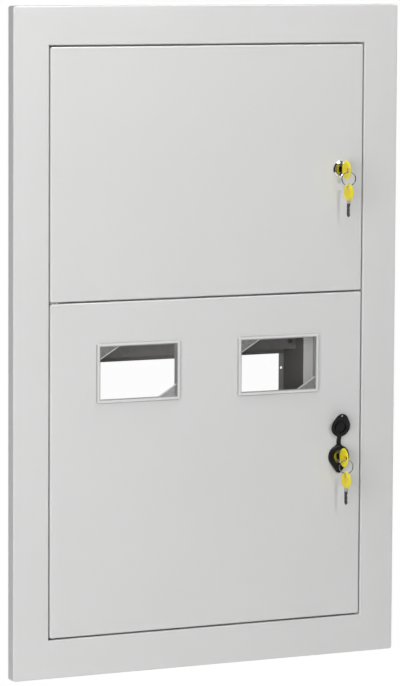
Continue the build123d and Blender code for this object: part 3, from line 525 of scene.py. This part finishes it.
def screws(node, body, outward, head_r, head_t, shank_r, recess):
    """Screws with a recess and a thread, where the CAD node has plain heads. A recess is half its length, half
    its width, its depth, and whether it is a cross or a slot."""
    stacks = []
    for place, spot in enumerate(screw_spots(node)):
        tilt = FIRST_TURN + NEXT_TURN * place
        stacks.append(screw_rings(spot, outward, head_r, head_t, shank_r, recess, tilt))
    made = new_piece(node + "_driven", rings_mesh(node, stacks), body, "steel", node)
    made.data.set_sharp_from_angle(angle=SHARP)


def stud():
    """Threaded earth stud with a narrower end."""
    low, high = (Vector(corner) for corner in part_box("earth_stud"))
    middle, radius = (low + high) / 2, (high.x - low.x) / 2
    turns = [2 * math.pi * step / STUD_SIDES for step in range(STUD_SIDES)]

    def ring(share, z):
        reach = share * radius
        return [Vector((middle.x + reach * math.cos(a), middle.y + reach * math.sin(a), z)) for a in turns]

    rings = [ring(STUD_FOOT, low.z)]
    z = low.z + STUD_FOOT_L
    while z < high.z - STUD_NOSE_L:
        rings += [ring(1, z), ring(STUD_ROOT, z + STUD_PITCH / 2)]
        z += STUD_PITCH
    rings += [ring(STUD_ROOT, high.z - STUD_CHAMFER), ring(STUD_NOSE, high.z)]
    mesh = rings_mesh("earth_stud", [rings])
    made = new_piece("earth_stud_threaded", mesh, "board", "steel", "earth_stud")
    made.data.set_sharp_from_angle(angle=SHARP)


for place in ("upper", "lower"):
    split_ring(place)
for node in ("crossbar_screws", "rail_screws", "cover_screws", "bar_fixing_screws"):
    screws(node, "board", -1, head_r=0.0035, head_t=0.0024, shank_r=0.0020,
           recess=(0.0022, 0.00055, 0.0014, True))
for node in ("neutral_bar_screws", "earth_bar_screws"):
    screws(node, "board", -1, head_r=0.0024, head_t=0.0030, shank_r=0.0023,
           recess=(0.0019, 0.0004, 0.0010, False))
for place in ("upper", "lower"):
    screws(place + "_cam_screw", place + "_lock", 1, head_r=0.0050, head_t=0.0025, shank_r=0.0020,
           recess=(0.0030, 0.0007, 0.0015, True))
stud()


# Stage, light and camera
def ray_kinds(tree):
    """1 for what is seen directly or through a window, and 1 for a reflection.
    After a matt bounce, both are 0."""
    path = tree.nodes.new("ShaderNodeLightPath")
    fresh = math_node(tree, "SUBTRACT", 1.0, path.outputs["Diffuse Depth"], clamp=True)
    seen = math_node(tree, "MAXIMUM", path.outputs["Is Camera Ray"], path.outputs["Is Transmission Ray"])
    mirrored = path.outputs["Is Glossy Ray"]
    return math_node(tree, "MULTIPLY", seen, fresh), math_node(tree, "MULTIPLY", mirrored, fresh)


def floor():
    """Pale floor that the camera sees as nearly white, with the shadow left on it."""
    made, tree, shader = material("pale_floor")
    shader.inputs["Base Color"].default_value = (0.8, 0.8, 0.8, 1)
    shader.inputs["Roughness"].default_value = 0.9
    shader.inputs["Emission Color"].default_value = (1, 1, 1, 1)
    seen, mirrored = ray_kinds(tree)
    seen_glow = math_node(tree, "MULTIPLY", seen, 0.9)
    mirrored_glow = math_node(tree, "MULTIPLY", mirrored, 0.5)
    link(tree, math_node(tree, "ADD", seen_glow, mirrored_glow), shader.inputs["Emission Strength"])
    mesh = bpy.data.meshes.new("floor")
    corners = [(x * FLOOR_HALF, y * FLOOR_HALF, FLOOR_Z) for x, y in ((-1, -1), (1, -1), (1, 1), (-1, 1))]
    mesh.from_pydata(corners, [], [(0, 1, 2, 3)])
    mesh.materials.append(made)
    plane = bpy.data.objects.new("floor", mesh)
    scene.collection.objects.link(plane)


def surroundings():
    """Plain white where it is seen. Its reflection is bright at the front right, and its weak light comes from
    the front."""
    world = bpy.data.worlds.new("studio")
    world.use_nodes = True
    tree = world.node_tree
    back = tree.nodes["Background"]
    axes = axes_of(tree, coordinate(tree, "Generated"))
    seen, mirrored = ray_kinds(tree)
    to_right = span(tree, axes["X"], 0.06, 0.95, start=0.48, end=0.75)
    to_front = span(tree, axes["Y"], 1.0, 0.3, start=-0.2, end=0.2)
    wall = math_node(tree, "MULTIPLY", to_right, to_front)
    matt = math_node(tree, "SUBTRACT", 1.0, math_node(tree, "ADD", seen, mirrored))
    fill = math_node(tree, "MULTIPLY", matt, span(tree, axes["Y"], 0.10, 0.02, start=-0.2, end=0.2))
    bright = math_node(tree, "ADD", seen, math_node(tree, "MULTIPLY", mirrored, wall))
    back.inputs["Color"].default_value = (1, 1, 1, 1)
    link(tree, math_node(tree, "ADD", bright, fill), back.inputs["Strength"])
    scene.world = world


def lamp(name, place, target, width, height, watts, mirrored=True, matt=True):
    """Soft rectangular lamp that points at a target. It shows in reflections, on matt surfaces, or in both."""
    light = bpy.data.lights.new(name, "AREA")
    light.shape = "RECTANGLE"
    light.size = width
    light.size_y = height
    light.energy = watts
    made = bpy.data.objects.new(name, light)
    made.location = place
    made.visible_glossy = mirrored
    made.visible_diffuse = matt
    made.rotation_euler = (Vector(target) - Vector(place)).to_track_quat("-Z", "Y").to_euler()
    scene.collection.objects.link(made)


def camera():
    """Camera of the photograph, from a fit to the board's corners."""
    level = math.cos(CAMERA_PITCH)
    ahead = Vector((math.sin(CAMERA_YAW) * level, math.cos(CAMERA_YAW) * level, -math.sin(CAMERA_PITCH)))
    right = Vector((math.cos(CAMERA_YAW), -math.sin(CAMERA_YAW), 0))
    down = ahead.cross(right)
    across = math.cos(CAMERA_ROLL) * right + math.sin(CAMERA_ROLL) * down
    up = math.sin(CAMERA_ROLL) * right - math.cos(CAMERA_ROLL) * down
    data = bpy.data.cameras.new("photo")
    data.sensor_fit = "VERTICAL"
    data.sensor_height = CAMERA_SENSOR
    data.lens = CAMERA_LENS
    made = bpy.data.objects.new("photo", data)
    turn = Matrix((across, up, -ahead)).transposed().to_4x4()
    made.matrix_world = Matrix.Translation(CAMERA_PLACE) @ turn
    scene.collection.objects.link(made)
    scene.camera = made


floor()
surroundings()
lamp("soft_front", (-2.1, -1.9, 0.25), (-0.1, -0.15, 0.1), width=2.2, height=1.7, watts=47.5, mirrored=False)
lamp("soft_top", (0.2, -0.55, 2.0), (0.0, -0.15, 0.1), width=2.2, height=0.4, watts=23.2)
lamp("soft_back", (1.7, 2.6, 0.9), (0.0, 0.0, 0.0), width=1.6, height=1.6, watts=85, mirrored=False)
lamp("small_front", (0.56, -3.35, 1.72), (0.0, -0.15, 0.0), width=0.56, height=0.56, watts=38.7)
# A strip that only draws the highlights on the folds
lamp("edge_shine", (0.38, -1.1, 1.9), (0.0, -0.15, 0.3), width=0.8, height=1.4, watts=46, matt=False)
camera()
